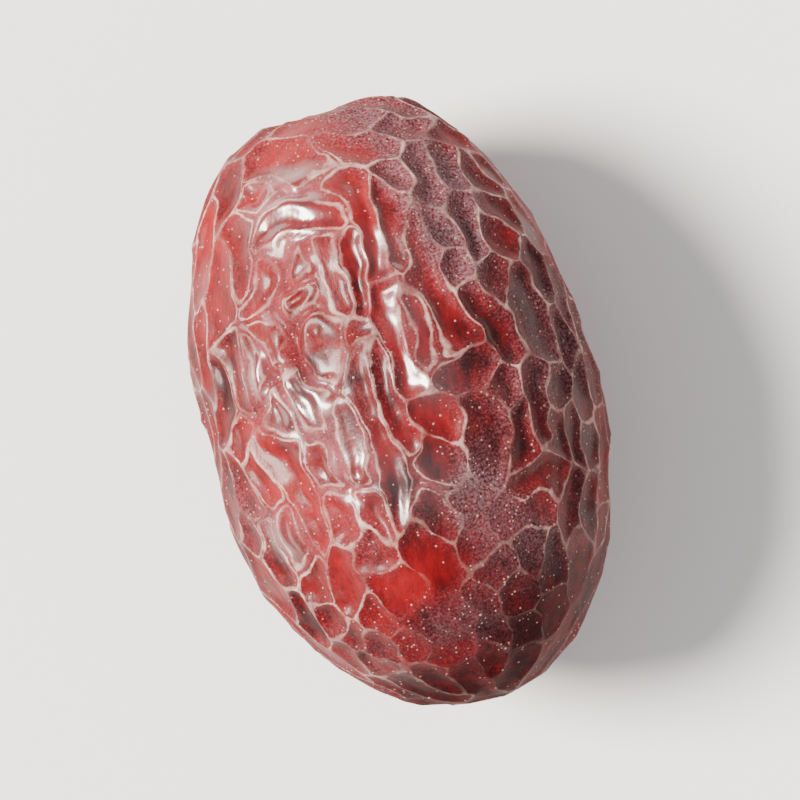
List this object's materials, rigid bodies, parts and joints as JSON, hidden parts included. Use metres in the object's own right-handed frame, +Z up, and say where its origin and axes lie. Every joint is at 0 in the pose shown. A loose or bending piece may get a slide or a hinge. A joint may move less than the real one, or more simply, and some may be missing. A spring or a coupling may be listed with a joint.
{
  "type": "dried jujube",
  "caption": "Whole dried red jujube with a wrinkled skin, a stem hollow at one end and a ringed scar at the other, lying on its side.",
  "frame": {"origin": "middle of the small flat spot that the fruit lies on, at the bottom of the bounding box", "axes": "+Y along the fruit towards its stem end, +X across it, +Z up out of the surface it lies on"},
  "size_m": [0.0315, 0.0487, 0.031],
  "materials": {
    "skin": "deep red leathery dried skin with a waxy gloss in the pockets, paler dry folds and a grey-mauve bloom"
  },
  "bodies": {
    "root": {"jujube": "skin"}
  },
  "joints": []
}
